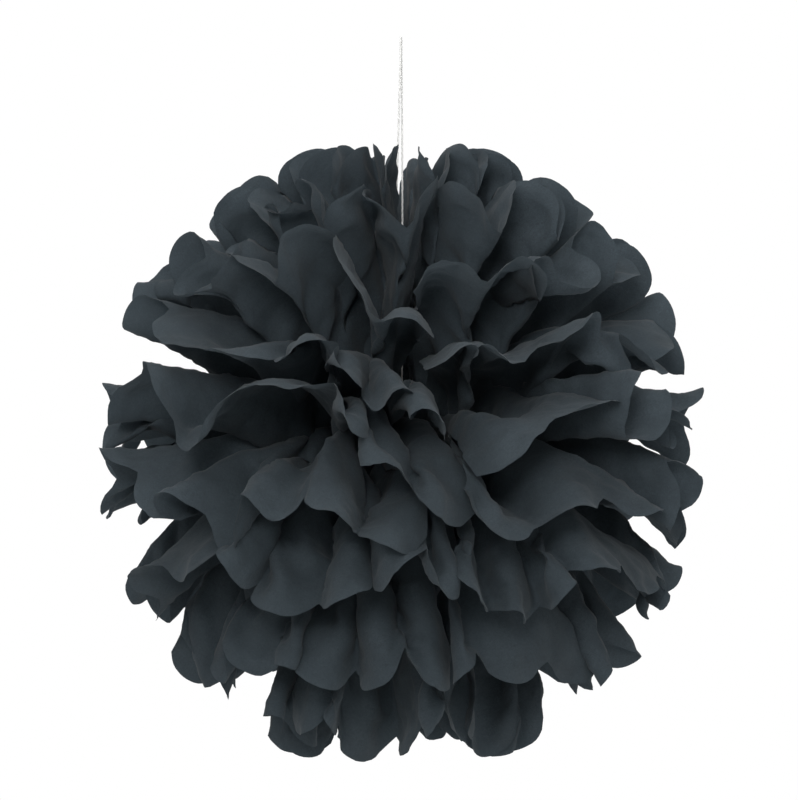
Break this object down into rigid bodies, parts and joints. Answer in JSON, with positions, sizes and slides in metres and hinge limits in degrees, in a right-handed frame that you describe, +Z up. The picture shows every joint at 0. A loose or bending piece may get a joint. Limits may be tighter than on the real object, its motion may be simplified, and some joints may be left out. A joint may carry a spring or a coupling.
{
  "type": "tissue paper pom pom",
  "caption": "Round hanging decoration of accordion folded tissue sheets with rounded ends, cinched by a wire and opened into a ball, on a loop of white thread.",
  "frame": {"origin": "the point inside the top of the thread's loop where a hook bears; the middle of the ball is 274 mm below it", "axes": "+Z up along the hanging thread; the two fans of paper open to -X and +X, and their seams are near -Y and +Y"},
  "size_m": [0.4046, 0.4224, 0.4748],
  "materials": {
    "tissue_paper": "matt, dyed through, charcoal black",
    "wire_steel": "bright drawn",
    "white_thread": "twisted, matt"
  },
  "bodies": {
    "root": {"upper_sheet_1": "tissue_paper", "upper_sheet_2": "tissue_paper", "upper_sheet_3": "tissue_paper", "upper_sheet_4": "tissue_paper", "upper_sheet_5": "tissue_paper", "lower_sheet_4": "tissue_paper", "lower_sheet_3": "tissue_paper", "lower_sheet_2": "tissue_paper", "lower_sheet_1": "tissue_paper", "tie_wire": "wire_steel", "thread_knot": "white_thread", "hanging_thread": "white_thread"}
  },
  "joints": []
}
